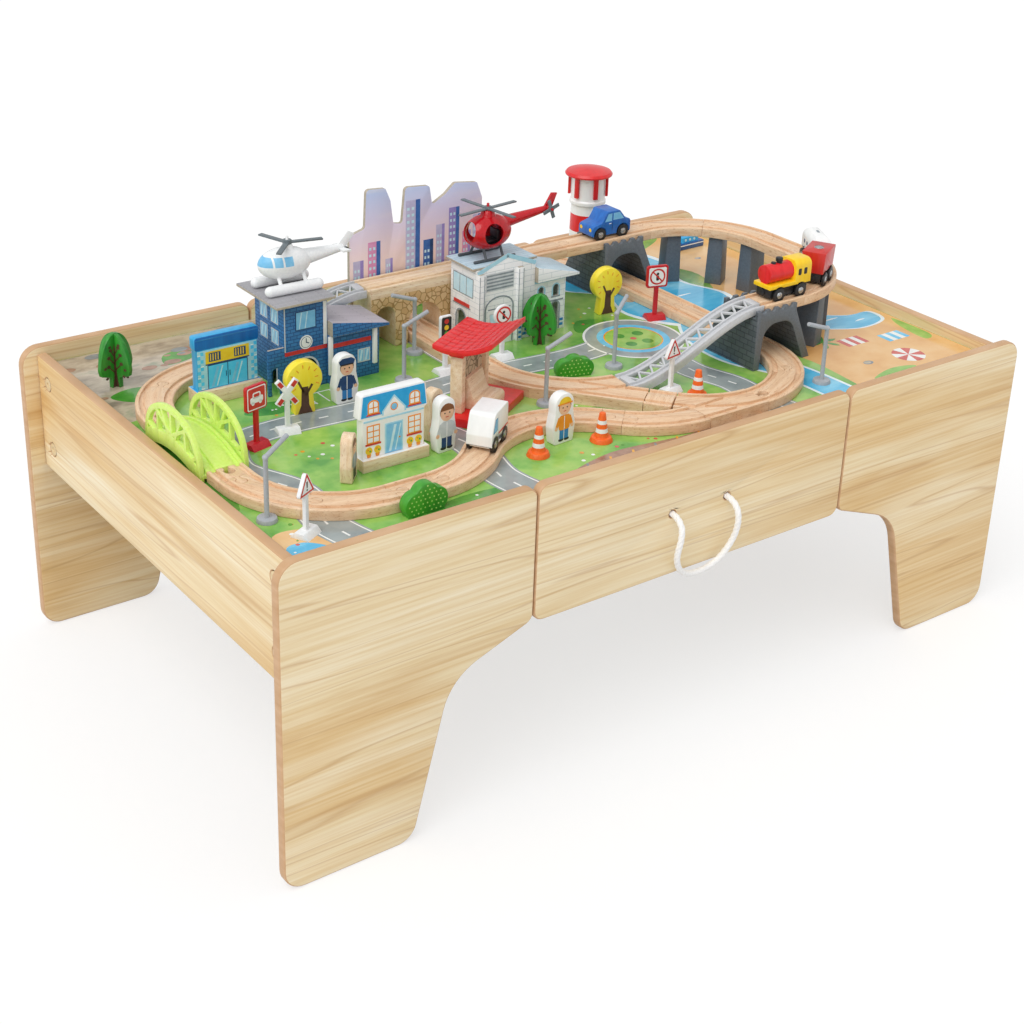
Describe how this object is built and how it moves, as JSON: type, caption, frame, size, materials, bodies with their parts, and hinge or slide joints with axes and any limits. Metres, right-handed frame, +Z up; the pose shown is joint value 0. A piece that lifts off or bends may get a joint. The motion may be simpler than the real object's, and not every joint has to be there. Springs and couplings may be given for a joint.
{
  "type": "train table",
  "caption": "Low play table with a drawer on a rope handle and a recessed printed board that carries a wooden railway, toy buildings, vehicles, trees and figures.",
  "frame": {"origin": "on the floor, below the middle of the table", "axes": "+Z up, +X along the long side to the right as seen from the drawer, the drawer opens towards -Y"},
  "size_m": [1, 0.6115, 0.5146],
  "materials": {
    "laminate": "satin wood-grain laminate",
    "board_print": "semi-gloss printed hardboard",
    "pine": "planed",
    "steel": "zinc plated",
    "drawer_wood": "satin",
    "drawer_panel": "matt",
    "rope": "twisted cotton",
    "beech": "sanded",
    "grey_plastic": "satin",
    "lime_plastic": "translucent gloss",
    "stone_plastic": "matt",
    "printed_board": "printed",
    "painted_wood": "painted print",
    "backdrop_print": "printed",
    "white_red_wood": "painted gloss",
    "red_plastic": "gloss",
    "green_board": "painted",
    "orange_plastic": "satin",
    "loco_paint": "gloss",
    "wagon_paint": "gloss",
    "white_paint": "gloss",
    "blue_paint": "gloss",
    "wheel_plastic": "satin",
    "red_gloss": "gloss",
    "white_gloss": "gloss",
    "rotor_plastic": "satin"
  },
  "bodies": {
    "table": {"leg_panel_front_left": "laminate", "leg_panel_front_right": "laminate", "leg_panel_back_left": "laminate", "leg_panel_back_right": "laminate", "end_panel_left": "laminate", "end_panel_right": "laminate", "back_panel": "laminate", "playboard": "board_print", "support_rails": "pine", "drawer_runners": "pine", "cam_fittings": "steel", "track_straights": "beech", "track_curves": "beech", "track_switches": "beech", "ramps": "grey_plastic", "green_bridge": "lime_plastic", "arch_bridge": "beech", "tunnels": "stone_plastic", "pillars": "stone_plastic", "station_walls": "printed_board", "clinic_walls": "printed_board", "building_roofs": "printed_board", "town_blocks": "painted_wood", "backdrop_board": "backdrop_print", "signal_tower": "white_red_wood", "shelter_frame": "beech", "shelter_base_and_roof": "red_plastic", "pine_trees": "green_board", "flat_trees": "painted_wood", "figures": "painted_wood", "road_signs": "red_plastic", "street_lamps": "grey_plastic", "traffic_cones": "orange_plastic", "red_heli_body": "red_gloss", "white_heli_body": "white_gloss"},
    "loco": {"loco_body": "loco_paint"},
    "loco_front_wheels": {"loco_axle_front": "wheel_plastic"},
    "loco_rear_wheels": {"loco_axle_rear": "wheel_plastic"},
    "wagon": {"wagon_body": "wagon_paint"},
    "wagon_front_wheels": {"wagon_axle_front": "wheel_plastic"},
    "wagon_rear_wheels": {"wagon_axle_rear": "wheel_plastic"},
    "carriage": {"carriage_body": "white_paint"},
    "carriage_front_wheels": {"carriage_axle_front": "wheel_plastic"},
    "carriage_rear_wheels": {"carriage_axle_rear": "wheel_plastic"},
    "car": {"car_body": "blue_paint"},
    "car_front_wheels": {"car_axle_front": "wheel_plastic"},
    "car_rear_wheels": {"car_axle_rear": "wheel_plastic"},
    "ambulance": {"ambulance_body": "white_paint"},
    "ambulance_front_wheels": {"ambulance_axle_front": "wheel_plastic"},
    "ambulance_rear_wheels": {"ambulance_axle_rear": "wheel_plastic"},
    "red_rotor": {"red_heli_rotor": "rotor_plastic"},
    "red_tail_rotor": {"red_heli_tail_rotor": "rotor_plastic"},
    "white_rotor": {"white_heli_rotor": "rotor_plastic"},
    "drawer": {"drawer_front": "laminate", "drawer_sides": "drawer_wood", "drawer_back": "drawer_wood", "drawer_bottom": "drawer_panel", "drawer_screws": "steel", "rope_handle": "rope", "rope_knots": "rope"}
  },
  "joints": [
    {"name": "drawer_slide", "type": "slide", "parent": "table", "child": "drawer", "axis": [0, -1, 0], "range_m": [0, 0.28]},
    {"name": "train_run", "type": "slide", "parent": "table", "child": "loco", "axis": [-1, 0, 0], "range_m": [-0.004, 0.02]},
    {"name": "loco_front_roll", "type": "hinge", "parent": "loco", "child": "loco_front_wheels", "pos_m": [0.236, -0.137, 0.4168], "axis": [0, -1, 0], "continuous": true},
    {"name": "loco_rear_roll", "type": "hinge", "parent": "loco", "child": "loco_rear_wheels", "pos_m": [0.27, -0.137, 0.4168], "axis": [0, -1, 0], "continuous": true},
    {"name": "wagon_run", "type": "hinge", "parent": "table", "child": "wagon", "pos_m": [0.272, -0.027, 0.411], "axis": [0, 0, -1], "range_deg": [-2.2, 10.6]},
    {"name": "wagon_front_roll", "type": "hinge", "parent": "wagon", "child": "wagon_front_wheels", "pos_m": [0.31435, -0.12815, 0.4168], "axis": [0.4848, -0.8746, 0], "continuous": true},
    {"name": "wagon_rear_roll", "type": "hinge", "parent": "wagon", "child": "wagon_rear_wheels", "pos_m": [0.33534, -0.11652, 0.4168], "axis": [0.4848, -0.8746, 0], "continuous": true},
    {"name": "carriage_run", "type": "hinge", "parent": "table", "child": "carriage", "pos_m": [0.272, -0.027, 0.411], "axis": [0, 0, -1], "range_deg": [-2.2, 10.6]},
    {"name": "carriage_front_roll", "type": "hinge", "parent": "carriage", "child": "carriage_front_wheels", "pos_m": [0.36261, -0.08877, 0.4168], "axis": [0.8829, -0.4695, 0], "continuous": true},
    {"name": "carriage_rear_roll", "type": "hinge", "parent": "carriage", "child": "carriage_rear_wheels", "pos_m": [0.37387, -0.06758, 0.4168], "axis": [0.8829, -0.4695, 0], "continuous": true},
    {"name": "car_run", "type": "slide", "parent": "table", "child": "car", "axis": [-1, 0, 0], "range_m": [-0.03, 0.11]},
    {"name": "car_front_roll", "type": "hinge", "parent": "car", "child": "car_front_wheels", "pos_m": [0.194, 0.138, 0.4168], "axis": [0, -1, 0], "continuous": true},
    {"name": "car_rear_roll", "type": "hinge", "parent": "car", "child": "car_rear_wheels", "pos_m": [0.23, 0.138, 0.4168], "axis": [0, -1, 0], "continuous": true},
    {"name": "ambulance_run", "type": "hinge", "parent": "table", "child": "ambulance", "pos_m": [-0.12544, -0.26056, 0.347], "axis": [0, 0, -1], "range_deg": [-5, 60]},
    {"name": "ambulance_front_roll", "type": "hinge", "parent": "ambulance", "child": "ambulance_front_wheels", "pos_m": [-0.19942, -0.17931, 0.3528], "axis": [-0.5736, 0.8192, 0], "continuous": true},
    {"name": "ambulance_rear_roll", "type": "hinge", "parent": "ambulance", "child": "ambulance_rear_wheels", "pos_m": [-0.17649, -0.16325, 0.3528], "axis": [-0.5736, 0.8192, 0], "continuous": true},
    {"name": "red_rotor_spin", "type": "hinge", "parent": "table", "child": "red_rotor", "pos_m": [-0.003, 0.093, 0.492], "axis": [0, 0, 1], "continuous": true},
    {"name": "red_tail_rotor_spin", "type": "hinge", "parent": "table", "child": "red_tail_rotor", "pos_m": [0.085, 0.0885, 0.479], "axis": [0, -1, 0], "continuous": true},
    {"name": "white_rotor_spin", "type": "hinge", "parent": "table", "child": "white_rotor", "pos_m": [-0.26, 0.10607, 0.492], "axis": [0, 0, 1], "continuous": true}
  ],
  "couplings": [
    {"joint": "loco_front_roll", "follows": "train_run", "rad_per_m": 117.65},
    {"joint": "loco_rear_roll", "follows": "train_run", "rad_per_m": 117.65},
    {"joint": "wagon_run", "follows": "train_run", "rad_per_m": 9.1743},
    {"joint": "wagon_front_roll", "follows": "train_run", "rad_per_m": 117.65},
    {"joint": "wagon_rear_roll", "follows": "train_run", "rad_per_m": 117.65},
    {"joint": "carriage_run", "follows": "train_run", "rad_per_m": 9.1743},
    {"joint": "carriage_front_roll", "follows": "train_run", "rad_per_m": 117.65},
    {"joint": "carriage_rear_roll", "follows": "train_run", "rad_per_m": 117.65},
    {"joint": "car_front_roll", "follows": "car_run", "rad_per_m": 117.65},
    {"joint": "car_rear_roll", "follows": "car_run", "rad_per_m": 117.65},
    {"joint": "ambulance_front_roll", "follows": "ambulance_run", "ratio": 12.823},
    {"joint": "ambulance_rear_roll", "follows": "ambulance_run", "ratio": 12.823}
  ]
}
